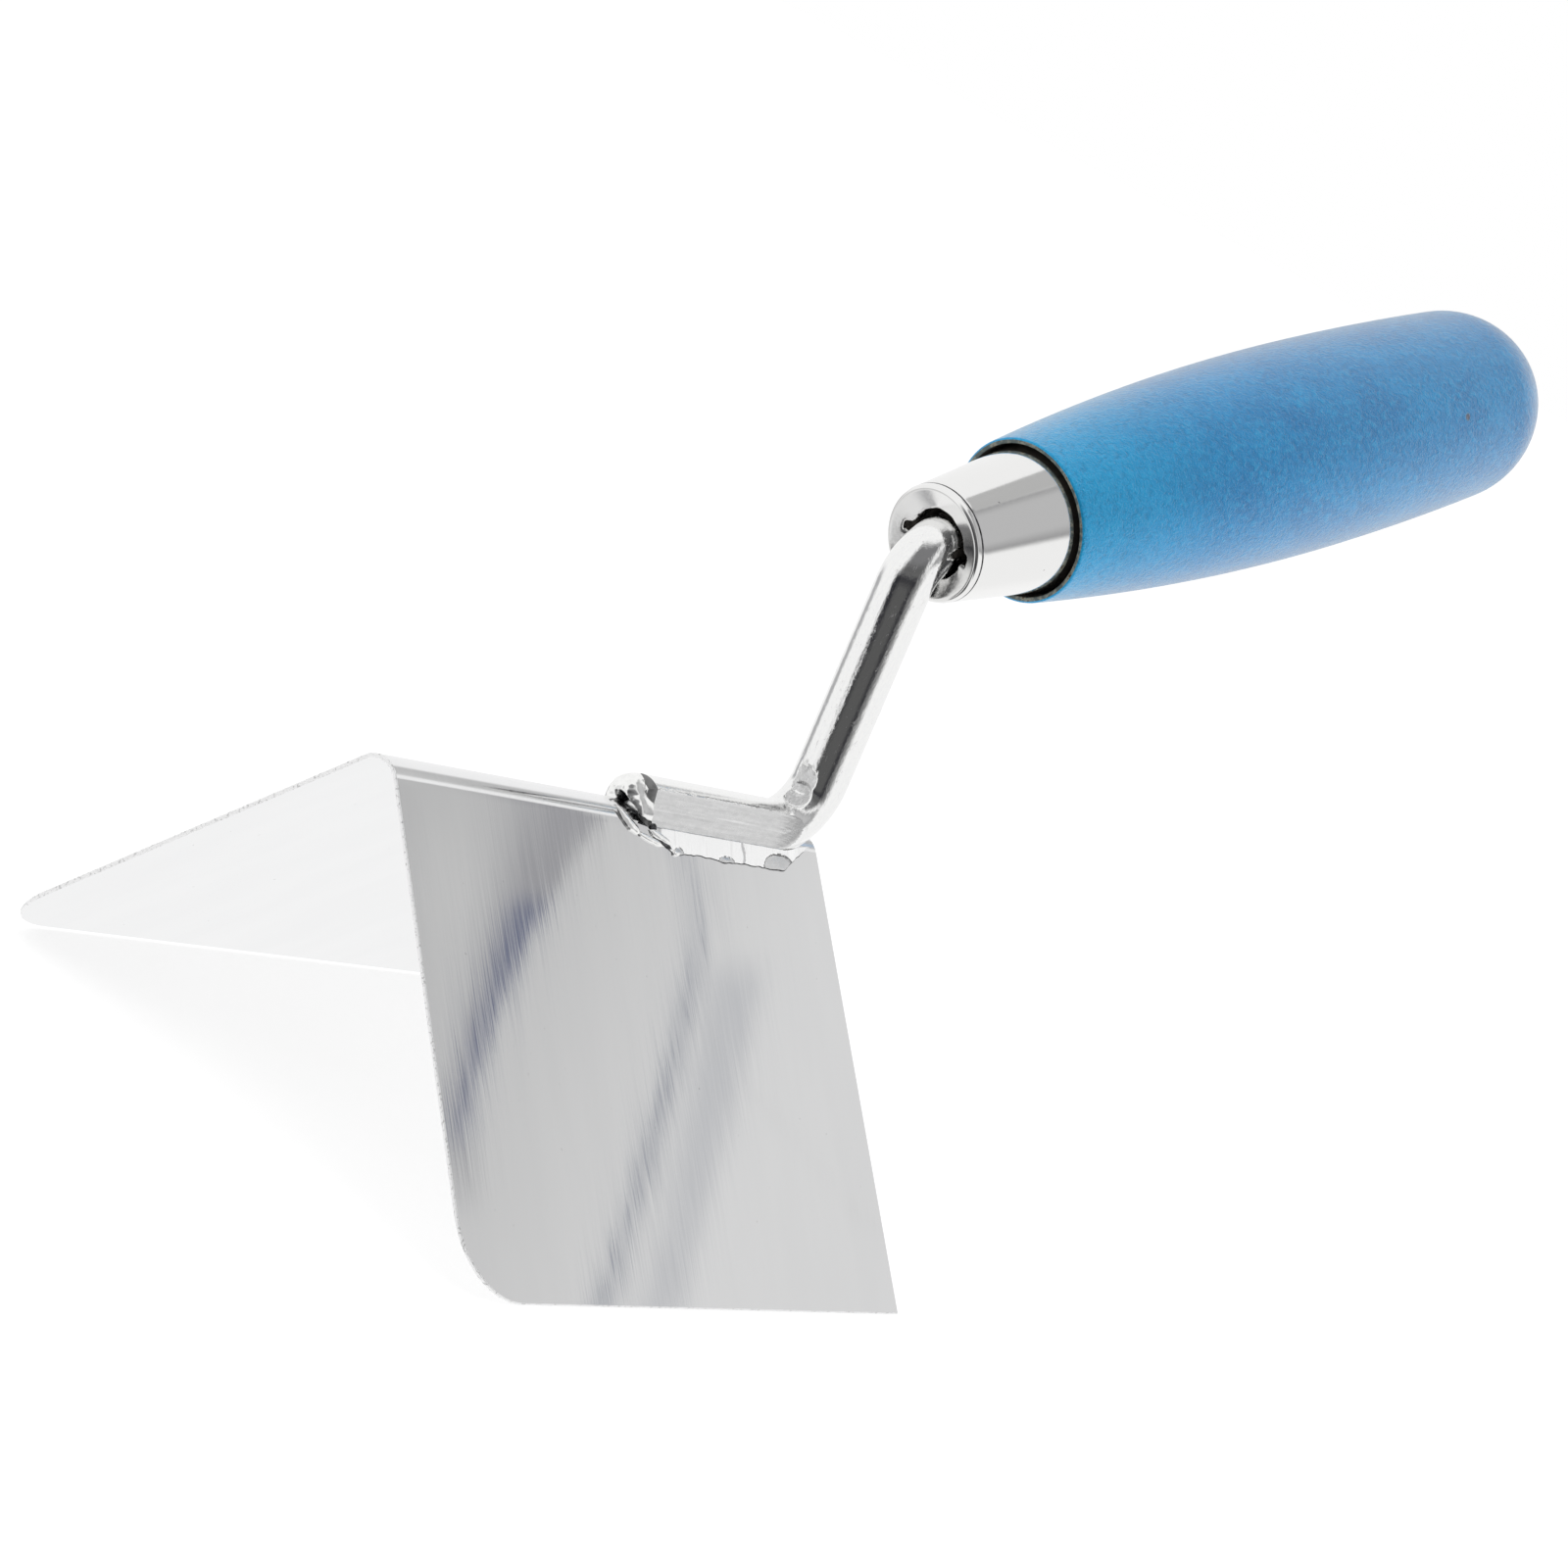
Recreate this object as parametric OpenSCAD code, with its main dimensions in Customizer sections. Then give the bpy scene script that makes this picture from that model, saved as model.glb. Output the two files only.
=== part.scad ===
// Outside corner trowel: a folded sheet blade, a cranked rod shank welded along the outside of
// the fold, and a turned wooden handle held by a pressed ferrule.
// +X runs back along the fold to the handle, +Z bisects the fold, and the tool is the same on
// both sides of the XZ plane. The origin is the middle of the tool's bounding box, on the floor
// that the blade's free edges stand on. Millimetres.

/* [Blade] */
// Length of each flange along its free edge
blade_len = 95.4; // [80:0.1:120]
// Width of each flange, measured from the sharp corner where the outer faces would meet
flange_w = 69.8; // [60:0.1:90]
// Angle between the two flanges
blade_angle = 86.2; // [84:0.1:92]
// Thickness of the sheet
sheet_t = 0.6; // [0.5:0.1:1.2]
// Outer radius of the fold
fold_r = 4.3; // [3:0.1:6]
// Radius of the front corners
corner_r = 10.7; // [5:0.1:15]
// Slope of the rear edges, which run back towards their free corners
rear_slope = 1.7; // [0:0.1:3]

/* [Shank] */
// Diameter of the rod
rod_d = 8; // [7:0.1:9]
// Distance from the blade's front to the front end of the foot
foot_start = 51.6; // [45:0.1:60]
// Distance from the blade's front to the corner of the heel bend
heel_x = 91.5; // [88:0.1:95]
// Height of the riser, from the foot's axis to the corner of the upper bend
riser_h = 44.1; // [35:0.1:60]
// Lean of the riser towards the front
riser_lean = 6.7; // [0:0.1:12]
// Centreline radius of the heel bend
heel_bend_r = 7.5; // [7:0.1:9]
// Centreline radius of the upper bend
upper_bend_r = 8; // [7:0.1:8.5]
// Depth ground off each side of the foot
flat_depth = 1; // [0.5:0.1:1.5]
// Tilt of the ground sides, which lean out towards the blade
flat_tilt = 13.7; // [5:0.1:20]
// Length of the tang inside the handle, behind its mouth
tang_depth = 52; // [40:1:70]

/* [Weld] */
// Distance down the flange from the sharp corner to the fillet's lower edge
fillet_reach = 8.1; // [7:0.1:9]
// Height of the fillet on the ground side of the foot
fillet_rise = 0.8; // [0.5:0.1:1.2]
// Thickness of the fillet's lower lip
fillet_lip = 0.35; // [0.2:0.05:0.5]
// Length of the bead in front of the foot
toe_len = 3; // [2:0.1:5]

/* [Ferrule] */
// Distance from the upper bend's corner to the ferrule's front
ferrule_gap = 2.4; // [2:0.1:4]
// Radius of the ferrule at its front rim
ferrule_r_front = 8.3; // [8:0.1:9]
// Radius of the ferrule at the handle's mouth
ferrule_r_mouth = 10.35; // [9.5:0.05:10.5]
// Length of the ferrule in front of the handle's mouth
ferrule_len = 18.6; // [15:0.1:22]
// Thickness of the ferrule's wall
ferrule_t = 0.8; // [0.6:0.1:1]
// Depth of the dish in the ferrule's front face
dish_depth = 1.2; // [1:0.1:1.5]
// Radius of the hole in the ferrule's front face
hole_r = 4.95; // [4.9:0.05:5.3]

/* [Handle] */
// Slope of the handle above the fold
handle_slope = 21.4; // [10:0.1:30]
// Length of the handle from its mouth to its end
handle_len = 118.6; // [100:0.1:130]
// Largest radius of the handle
handle_r = 16; // [15:0.1:17]
// Radius of the handle at its mouth
mouth_r = 11.85; // [11.8:0.05:12.5]
// Distance from the mouth to the thickest place
belly_s = 64; // [55:1:70]
// Thickness of the rim round the mouth
rim_t = 0.45; // [0.4:0.05:0.6]
// Depth of the undercut behind the mouth
undercut = 5; // [3:0.1:7]
// Length of the rounded end
end_len = 15.5; // [12:0.1:20]

/* [Hidden] */
$fn = 96;
eps = 0.01;
past = 1;

// Blade: half its angle, where the fold turns into the flanges, and its fold's axis
half = blade_angle / 2;
fold_tangent = fold_r / tan(half);
fold_axis_z = -fold_r / sin(half);
fold_top_z = fold_axis_z + fold_r;
fold_steps = 14;
ridge_len = blade_len - flange_w * tan(rear_slope);
floor_z = -flange_w * cos(half) - sheet_t * sin(half);

// Shank: the rod's turns and the straight runs between them, on the XZ plane
rod_r = rod_d / 2;
foot_z = fold_top_z;
heel_turn = 90 + riser_lean;
upper_turn = heel_turn - handle_slope;
riser_len = riser_h / cos(riser_lean);
heel_setback = heel_bend_r * tan(heel_turn / 2);
upper_setback = upper_bend_r * tan(upper_turn / 2);
foot_run = heel_x - heel_setback - foot_start;
riser_run = riser_len - heel_setback - upper_setback;
tang_run = ferrule_gap + ferrule_len + tang_depth - upper_setback;
neck_x = heel_x - riser_h * tan(riser_lean);
neck_z = foot_z + riser_h;
lap = 0.1;
bend_thinning = 0.02;

// Ground sides of the foot: their distance from its axis, where they end, and how far down the
// flange they meet it
flat_off = rod_r - flat_depth;
flat_end = heel_x - 3;
flat_foot = (flat_off + foot_z * sin(flat_tilt)) / sin(half - flat_tilt);

// Ferrule: its cone, continued into the undercut, its inside and its rolled front rim
ferrule_cone = (ferrule_r_mouth - ferrule_r_front) / ferrule_len;
end_gap = 0.4;
ferrule_end = ferrule_len + undercut - end_gap;
ferrule_r_end = ferrule_r_front + ferrule_cone * ferrule_end;
rim_round = 0.6;
crease_at = 1.5;
crease_depth = 0.15;
tenon_start = dish_depth + ferrule_t;
notch_w = 1.6;
notch_reach = 5.9;

// Handle: how fast its two halves taper from the belly, and the bore for the tang
front_taper = (handle_r - mouth_r) / pow(belly_s, 2);
rear_taper = 0.00071;
end_s = handle_len - end_len;
outline_step = 4;
end_step = 7.5;
bore_mouth_r = 5;
bore_mouth_len = 3;
glue_gap = 0.05;

// Bounding box in X: the blade's front at 0, and the handle's rounded end
end_x = neck_x + (ferrule_gap + ferrule_len + end_s) * cos(handle_slope)
    + sqrt(pow(end_len * cos(handle_slope), 2) + pow(body_r(end_s) * sin(handle_slope), 2));

// Radius of the handle's barrel at a distance s from its mouth
function body_r(s) =
    handle_r - (s < belly_s ? front_taper : rear_taper) * pow(s - belly_s, 2);
// Point on the outline of the handle's rounded end, as [radius, s], at an angle round from the barrel
function end_point(a) =
    let (s = end_s + end_len * sin(a))
    [body_r(s) * cos(a), s];
// Outer and inner radius of the ferrule's cone at a distance u from its front
function cone_r(u) = ferrule_r_front + ferrule_cone * u;
function cone_inner_r(u) = cone_r(u) - ferrule_t;
// Point on a flange's outer face at a distance d from the sharp corner, as [y, z]
function on_flange(d) = [-d * sin(half), -d * cos(half)];

// Moves from the sharp corner's frame, which the dimensions are laid out in, to the origin
module placed() {
    translate([-end_x / 2, 0, -floor_z]) children();
}

// Extrudes a [y, z] section back along the fold
module along_fold(from, length) {
    translate([from, 0, 0]) rotate([90, 0, 90]) linear_extrude(length) children();
}

// Outline of everything under a sheet whose outer faces lie a depth inside the blade's
module roof(depth, length) {
    in = depth * [cos(half), -sin(half)];
    edge = on_flange(length) + in;
    foot = on_flange(length) + sheet_t * [cos(half), -sin(half)];
    bend = [for (i = [0:fold_steps])
        let (a = (i / fold_steps - 0.5) * (180 - blade_angle))
        [(fold_r - depth) * sin(a), fold_axis_z + (fold_r - depth) * cos(a)]];
    polygon(concat(bend, [[-edge.x, edge.y], [-foot.x, foot.y], foot, edge]));
}

// What is trimmed off the left flange at its front corner
module corner_trim() {
    rotate([-90 - half, 0, 0]) translate([0, 0, -past]) linear_extrude(sheet_t + 2 * past)
        difference() {
            translate([-past, flange_w - corner_r]) square(corner_r + past);
            translate([corner_r, flange_w - corner_r]) circle(corner_r);
        }
}

// What is trimmed off behind the sloping rear edges, in plan
module rear_trim() {
    side = flange_w * sin(half);
    translate([0, 0, floor_z - past]) linear_extrude(-floor_z + past) polygon([
        [ridge_len, 0],
        [blade_len, side],
        [blade_len + past, side + past],
        [blade_len + past, -side - past],
        [blade_len, -side],
    ]);
}

module blade() {
    color("silver") placed() difference() {
        along_fold(0, blade_len) difference() {
            roof(0, flange_w);
            roof(sheet_t, flange_w + past);
        }
        corner_trim();
        mirror([0, 1, 0]) corner_trim();
        rear_trim();
    }
}

// A straight run of rod along +X, which reaches into the bends at its ends
module run(length, before = lap, after = lap) {
    translate([-before, 0, 0]) rotate([0, 90, 0]) cylinder(r = rod_r, h = before + length + after);
}

// A bend that starts along +X and turns up, with its children at its end, along the new heading
module bend(turn, radius) {
    translate([0, 0, radius]) rotate([90, 90, 0])
        rotate_extrude(angle = turn) translate([radius, 0]) circle(rod_r - bend_thinning);
    translate([radius * sin(turn), 0, radius * (1 - cos(turn))]) rotate([0, -turn, 0]) children();
}

// The same bend, turning down
module bend_down(turn, radius) {
    mirror([0, 0, 1]) bend(turn, radius) children();
}

module rod() {
    translate([foot_start, 0, foot_z]) {
        run(foot_run, before = 0);
        translate([foot_run, 0, 0]) bend(heel_turn, heel_bend_r) {
            run(riser_run);
            translate([riser_run, 0, 0]) bend_down(upper_turn, upper_bend_r)
                run(tang_run, after = 0);
        }
    }
}

// What is ground off the left side of the foot
module ground_side() {
    translate([0, 0, foot_z]) rotate([-flat_tilt, 0, 0])
        translate([foot_start - past, -flat_off - rod_d, -rod_d])
            cube([flat_end - foot_start + past, rod_d, 2 * rod_d]);
}

module shank() {
    color("gainsboro") placed() difference() {
        rod();
        along_fold(-past, blade_len + 2 * past + rod_d) roof(0, flange_w);
        ground_side();
        mirror([0, 1, 0]) ground_side();
    }
}

// Fillet on the left flange, in the shallow corner under the ground side of the foot
module fillet() {
    low = on_flange(fillet_reach);
    corner = on_flange(flat_foot);
    along_fold(foot_start, flat_end - foot_start) polygon([
        corner,
        low,
        low + fillet_lip * [-cos(half), sin(half)],
        corner + fillet_rise * [sin(flat_tilt), cos(flat_tilt)],
    ]);
}

module weld_left() {
    color("white") placed() fillet();
}

module weld_right() {
    color("white") placed() mirror([0, 1, 0]) fillet();
}

// Lumpy dome over the front end of the foot
module weld_toe() {
    dome = [for (a = [0:10:90]) [rod_r * cos(a), toe_len * sin(a)]];
    color("white") placed() difference() {
        translate([foot_start, 0, foot_z]) rotate([0, -90, 0])
            rotate_extrude() polygon(concat([[0, 0]], dome));
        along_fold(-past, blade_len) roof(0, flange_w);
    }
}

module ferrule() {
    rim = [for (a = [90:-15:0])
        [ferrule_r_front - rim_round * (1 - cos(a)), rim_round * (1 - sin(a))]];
    color("lightgray") at_neck() difference() {
        rotate_extrude() polygon(concat(
            [[hole_r, dish_depth]],
            rim,
            [
                [cone_r(crease_at) - crease_depth, crease_at],
                [cone_r(2 * crease_at), 2 * crease_at],
                [ferrule_r_end, ferrule_end],
                [ferrule_r_end - ferrule_t, ferrule_end],
                [cone_inner_r(tenon_start), tenon_start],
                [hole_r, tenon_start],
            ]
        ));
        translate([-notch_w / 2, -notch_reach, -past]) cube([notch_w, 2 * notch_reach, 4 * past]);
    }
}

// Frame of the ferrule's front: local +Z runs along the handle's axis, local Y is the tool's Y
module at_neck() {
    placed() translate([neck_x, 0, neck_z]) rotate([0, 90 - handle_slope, 0])
        translate([0, 0, ferrule_gap]) children();
}

module handle() {
    barrel = [for (s = [0:outline_step:end_s - eps]) [body_r(s), s]];
    rounded_end = [for (a = [0:end_step:90]) end_point(a)];
    color("steelblue") at_neck() translate([0, 0, ferrule_len]) rotate_extrude() polygon(concat(
        [[mouth_r - rim_t, 0]],
        barrel,
        rounded_end,
        [
            [0, tang_depth],
            [rod_r, tang_depth],
            [rod_r, tenon_start - ferrule_len + bore_mouth_len],
            [bore_mouth_r, tenon_start - ferrule_len],
            [cone_inner_r(tenon_start) - glue_gap, tenon_start - ferrule_len],
            [cone_inner_r(ferrule_len + undercut) - glue_gap, undercut],
            [mouth_r - rim_t, undercut],
        ]
    ));
}

blade();
shank();
weld_left();
weld_right();
weld_toe();
ferrule();
handle();
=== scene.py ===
"""Outside corner trowel: a folded mirror-polished blade, a cranked rod shank welded along the
fold, and a turned wooden handle with a pressed ferrule.

Dimensions are in millimetres in the tool's own frame: the origin is the front of the sharp
corner where the flanges' outer faces would meet, +X runs back along the fold and +Z bisects it.
"""

import math

import bmesh
import bpy
from mathutils import Matrix, Vector, noise


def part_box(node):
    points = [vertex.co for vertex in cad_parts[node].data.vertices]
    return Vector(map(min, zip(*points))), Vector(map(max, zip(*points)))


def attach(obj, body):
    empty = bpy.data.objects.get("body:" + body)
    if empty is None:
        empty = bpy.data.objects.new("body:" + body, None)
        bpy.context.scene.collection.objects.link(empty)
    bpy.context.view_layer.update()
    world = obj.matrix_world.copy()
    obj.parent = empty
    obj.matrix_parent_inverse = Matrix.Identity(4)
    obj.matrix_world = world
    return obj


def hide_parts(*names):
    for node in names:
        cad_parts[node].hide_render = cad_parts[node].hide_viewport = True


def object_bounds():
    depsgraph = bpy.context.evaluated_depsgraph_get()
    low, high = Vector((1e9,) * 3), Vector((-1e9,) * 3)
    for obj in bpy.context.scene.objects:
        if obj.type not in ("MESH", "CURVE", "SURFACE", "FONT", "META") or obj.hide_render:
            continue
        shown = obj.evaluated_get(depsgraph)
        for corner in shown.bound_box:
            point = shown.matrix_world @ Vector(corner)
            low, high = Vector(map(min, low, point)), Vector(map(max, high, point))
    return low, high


MM = 0.001

# Blade
BLADE_LEN = 95.4
FLANGE_W = 69.8
HALF = math.radians(86.2 / 2)
SHEET_T = 0.6
FOLD_R = 4.3
CORNER_R = 10.7
CORNER_START = FLANGE_W - CORNER_R
REAR_SLOPE = math.radians(1.7)
EDGE_ROUND = 0.14  # rounding of the sheet's cut edges
FOLD_AXIS_Z = -FOLD_R / math.sin(HALF)
FOLD_TOP_Z = FOLD_AXIS_Z + FOLD_R
FOLD_TANGENT = FOLD_R / math.tan(HALF)  # where the flanges' flats begin
RIDGE_LEN = BLADE_LEN - FLANGE_W * math.tan(REAR_SLOPE)

# Shank
ROD_R = 4.0
FOOT_START = 51.6
HEEL_X = 91.5
RISER_H = 44.1
RISER_LEAN = math.radians(6.7)
HEEL_BEND_R = 7.5
UPPER_BEND_R = 8.0
FLAT_OFF = 3.0  # from the middle plane to a ground side, at the rod's axis
FLAT_TILT = math.radians(13.7)
FLAT_END = 82.5  # where the ground sides begin to run out
TANG_DEPTH = 52.0  # from the handle's mouth

# Ferrule and handle, in the neck's frame: their axis is its local Z
HANDLE_SLOPE = math.radians(21.4)
FERRULE_GAP = 2.4  # from the rod's upper corner to the ferrule's rim
FERRULE_R_FRONT = 8.3
FERRULE_R_MOUTH = 10.35
FERRULE_LEN = 18.6
FERRULE_T = 0.8
DISH_DEPTH = 1.2
HOLE_R = 4.95
NOTCH_REACH = 5.9  # of the hole's two notches, from the axis
LIP_IN = 0.3  # how far the hole's drawn lip stands inside the CAD hole
RIM_ROUND = 0.5
HANDLE_LEN = 118.6
HANDLE_R = 16.0
MOUTH_R = 11.85
BELLY_S = 64.0  # the thickest place, behind the mouth
RIM_T = 0.45  # thickness of the mouth's rim
UNDERCUT = 5.0  # depth of the gap round the ferrule
END_LEN = 15.5  # length of the rounded end
REAR_TAPER = 0.00071  # loss of radius behind the belly, by the distance squared
PAINT_IN = 0.03  # how far the paint stays inside the CAD body
SPOT_S = 87.5  # the worn spot, behind the mouth and round the axis
SPOT_ANGLE = math.radians(152)

NECK_X = HEEL_X - RISER_H * math.tan(RISER_LEAN)
NECK_Z = FOLD_TOP_Z + RISER_H

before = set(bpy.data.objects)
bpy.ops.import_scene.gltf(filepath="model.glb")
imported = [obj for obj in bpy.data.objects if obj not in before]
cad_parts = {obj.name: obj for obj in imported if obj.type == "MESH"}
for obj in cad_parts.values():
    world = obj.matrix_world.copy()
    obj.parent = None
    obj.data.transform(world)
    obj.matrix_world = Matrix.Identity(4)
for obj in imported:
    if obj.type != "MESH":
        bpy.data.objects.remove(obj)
cad_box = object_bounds()

BLADE_LOW, BLADE_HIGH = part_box("blade")
ORIGIN = Vector((BLADE_LOW[0], 0, BLADE_HIGH[2] - FOLD_TOP_Z * MM))


def place(point):
    """A point of the tool's own frame, in the row frame in metres."""
    return ORIGIN + MM * Vector(point)


def place_on_neck(radius, angle, along):
    """A point round the handle's axis, given from the ferrule's front rim."""
    side = radius * math.cos(angle)
    rise = radius * math.sin(angle)
    reach = FERRULE_GAP + along
    return place(
        (
            NECK_X + reach * math.cos(HANDLE_SLOPE) - rise * math.sin(HANDLE_SLOPE),
            side,
            NECK_Z + reach * math.sin(HANDLE_SLOPE) + rise * math.cos(HANDLE_SLOPE),
        )
    )


def lump(x, y, z, scale, seed=0.0):
    """Smooth noise between about -1 and 1, with features about scale millimetres across."""
    return noise.noise(Vector((x / scale + seed, y / scale - seed, z / scale + 2 * seed)))


def steps(start, end, count):
    """count + 1 evenly spaced values from start to end."""
    return [start + (end - start) * i / count for i in range(count + 1)]


def around(count):
    """count evenly spaced angles round a full turn."""
    return [2 * math.pi * i / count for i in range(count)]


def ease(t):
    """Smooth step from 0 at t = 0 to 1 at t = 1."""
    t = min(1.0, max(0.0, t))
    return t * t * (3 - 2 * t)


# ---------------------------------------------------------------- mesh building


class Skin:
    """Collects a piece's points and faces, and makes its object."""

    def __init__(self):
        self.points = []
        self.faces = []
        self.finish = []
        self.current = 0

    def row(self, points):
        """Adds points and gives their numbers."""
        first = len(self.points)
        self.points.extend(points)
        return list(range(first, len(self.points)))

    def bridge(self, a, b, closed=False):
        """Joins two rows of equally many points by faces."""
        count = len(a) if closed else len(a) - 1
        for i in range(count):
            j = (i + 1) % len(a)
            self.face(a[i], a[j], b[j], b[i])

    def cap(self, ring, centre):
        """Closes a ring with a fan of faces from a point."""
        middle = self.row([centre])[0]
        for i, start in enumerate(ring):
            self.face(start, ring[(i + 1) % len(ring)], middle)

    def seal(self, ring):
        """Closes a ring with a fan of faces from its middle."""
        self.cap(ring, sum((self.points[i] for i in ring), Vector()) / len(ring))

    def face(self, *corners):
        """Adds a face with the current one of the piece's materials."""
        self.faces.append(corners)
        self.finish.append(self.current)

    def piece(self, name, node, materials, crease_deg=35):
        """Makes the object that replaces a CAD node."""
        mesh = bpy.data.meshes.new(name)
        mesh.from_pydata(self.points, [], self.faces)
        mesh.polygons.foreach_set("material_index", self.finish)
        work = bmesh.new()
        work.from_mesh(mesh)
        bmesh.ops.remove_doubles(work, verts=work.verts, dist=1e-7)
        bmesh.ops.dissolve_degenerate(work, edges=work.edges, dist=1e-8)
        bmesh.ops.recalc_face_normals(work, faces=work.faces)
        work.to_mesh(mesh)
        work.free()
        mesh.shade_smooth()
        mesh.set_sharp_from_angle(angle=math.radians(crease_deg))
        for material in materials:
            mesh.materials.append(material)
        made = bpy.data.objects.new(name, mesh)
        bpy.context.scene.collection.objects.link(made)
        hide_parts(node)
        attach(made, "root")
        return made


# ---------------------------------------------------------------- blade


def flange_warp(x, d, side):
    """How far a flange bows out of its plane; nothing at the fold and at the free edge."""
    across = (d - FOLD_TANGENT) / (FLANGE_W - FOLD_TANGENT)
    hold = max(0.0, 4 * across * (1 - across))
    return (0.015 if side < 0 else 0.08) * hold * lump(x, d, side, 45, 3.1)


def sheet_section(inset):
    """Distances down one flange, from where the fold's flat begins to its free edge."""
    flat = [FOLD_TANGENT + (CORNER_START - FOLD_TANGENT) * t for t in steps(0, 1, 56)]
    round_in = steps(0, math.pi / 2, 14)[1:]
    turned = [CORNER_START + (CORNER_R - inset) * math.sin(a) for a in round_in]
    return flat + turned


def sheet_point(side, d, x, depth):
    """A point of the sheet at a depth under its outer face, on the flange at that side."""
    bow = flange_warp(x, d, side) - depth
    return place(
        (
            x,
            side * (d * math.sin(HALF) + bow * math.cos(HALF)),
            -d * math.cos(HALF) + bow * math.sin(HALF),
        )
    )


def sheet_columns(d, inset):
    """Distances along the blade, from its front edge to its rear edge, on the row at d."""
    front = inset
    if d > CORNER_START:
        arm = CORNER_R - inset
        front = CORNER_R - math.sqrt(max(0.0, arm * arm - (d - CORNER_START) ** 2))
    rear = RIDGE_LEN + d * math.tan(REAR_SLOPE) - inset
    return [front + (rear - front) * t for t in steps(0, 1, 96)]


def sheet_rows(inset, depth):
    """Rows of points along the blade, from the left free edge over the fold to the right one."""
    down = sheet_section(inset)
    rows = []
    for d in reversed(down):
        rows.append([sheet_point(-1, d, x, depth) for x in sheet_columns(d, inset)])
    sector = math.pi / 2 - HALF
    reach = FOLD_R - depth
    for a in steps(-sector, sector, 44)[1:-1]:
        y, z = reach * math.sin(a), FOLD_AXIS_Z + reach * math.cos(a)
        d = abs(a) / sector * FOLD_TANGENT
        rows.append([place((x, y, z)) for x in sheet_columns(d, inset)])
    for d in down:
        rows.append([sheet_point(1, d, x, depth) for x in sheet_columns(d, inset)])
    return rows


def rim_of(rows):
    """Indices round the edge of a grid of rows."""
    front = [row[0] for row in rows]
    rear = [row[-1] for row in reversed(rows)]
    return front + rows[-1][1:] + rear[1:] + list(reversed(rows[0]))[1:-1]


def build_blade(polished, cut, bent):
    """The folded sheet: an outer and an inner face, joined by slightly rounded cut edges."""
    skin = Skin()
    flat, edge, fold = range(3)
    layers = (
        (EDGE_ROUND, 0.0),
        (0.0, EDGE_ROUND),
        (0.0, SHEET_T - EDGE_ROUND),
        (EDGE_ROUND, SHEET_T),
    )
    rims = []
    for inset, depth in layers:
        rows = [skin.row(points) for points in sheet_rows(inset, depth)]
        rims.append(rim_of(rows))
        if not inset:
            continue
        flat_rows = len(sheet_section(inset))
        for i, (a, b) in enumerate(zip(rows, rows[1:])):
            skin.current = fold if flat_rows - 1 <= i < len(rows) - flat_rows else flat
            skin.bridge(a, b)
    skin.current = edge
    for a, b in zip(rims, rims[1:]):
        skin.bridge(a, b, closed=True)
    drop_loose(skin)
    return skin.piece("blade_sheet", "blade", [polished, cut, bent], 20)


def drop_loose(skin):
    """Keeps only the points that a face uses."""
    used = sorted({i for face in skin.faces for i in face})
    new = {old: i for i, old in enumerate(used)}
    skin.points = [skin.points[i] for i in used]
    skin.faces = [tuple(new[i] for i in face) for face in skin.faces]


# ---------------------------------------------------------------- shank


def rod_path():
    """(centre, heading) of rings along the rod, on the XZ plane, from the foot to the tang."""
    heel_turn = math.pi / 2 + RISER_LEAN
    upper_turn = heel_turn - HANDLE_SLOPE
    heel_set = HEEL_BEND_R * math.tan(heel_turn / 2)
    upper_set = UPPER_BEND_R * math.tan(upper_turn / 2)
    legs = (
        (HEEL_X - heel_set - FOOT_START, 56, heel_turn, HEEL_BEND_R, 40),
        (RISER_H / math.cos(RISER_LEAN) - heel_set - upper_set, 50, -upper_turn, UPPER_BEND_R, 36),
        (FERRULE_GAP + FERRULE_LEN + TANG_DEPTH - upper_set, 40, 0, 0, 0),
    )
    x, z, heading = FOOT_START, FOLD_TOP_Z, 0.0
    path = [((x, z), heading)]
    for length, count, turn, radius, bend_count in legs:
        for s in steps(0, length, count)[1:]:
            path.append(((x + s * math.cos(heading), z + s * math.sin(heading)), heading))
        (x, z), _ = path[-1]
        if not turn:
            break
        side = math.copysign(1, turn)
        cx = x - side * radius * math.sin(heading)
        cz = z + side * radius * math.cos(heading)
        for part in steps(0, turn, bend_count)[1:]:
            now = heading + part
            path.append(
                ((cx + side * radius * math.sin(now), cz - side * radius * math.cos(now)), now)
            )
        (x, z), heading = path[-1]
    return path


def above_blade(y, z):
    """Distance of a point outside the blade's outer face."""
    y = abs(y)
    up = z - FOLD_AXIS_Z
    if math.atan2(y, up) < math.pi / 2 - HALF:
        return math.hypot(y, up) - FOLD_R
    return y * math.cos(HALF) + up * math.sin(HALF) - FOLD_R


# Fine grooves along the ground sides: their height, and where they run out
GROOVES = ((-1.5, 71.0), (-2.75, 87.0))


def outside_flats(point, shrink):
    """Distance of a point outside the ground sides, which run out towards the heel."""
    x, y, z = point
    run_out = max(0.0, x - FLAT_END) + 1.2 * max(0.0, z - 1.4)
    off = FLAT_OFF + run_out * run_out / 12 + 0.02 * lump(x, 0, z, 1.6, 7.7)
    for groove_z, ends in GROOVES:
        along = ease((x - FOOT_START) / 2) * ease((ends - x) / 6)
        off -= 0.05 * along * math.exp(-(((z - groove_z) / 0.09) ** 2))
    return abs(y) * math.cos(FLAT_TILT) + (z - FOLD_TOP_Z) * math.sin(FLAT_TILT) - off + shrink


# Hammer marks inside the heel bend: centre, outward direction, radius and depth. A mark's
# flat fades out at MARK_FADE radii and has the ground look up to MARK_LOOK radii.
MARK_FADE = 1.3
MARK_LOOK = 1.05
MARKS = (
    (Vector((86.57, 0, 5.75)), Vector((-0.995, -0.10, 0.02)).normalized(), 1.75, 0.36),
    (Vector((86.32, -0.5, 3.75)), Vector((-0.86, -0.25, 0.45)).normalized(), 1.6, 0.26),
)


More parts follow.
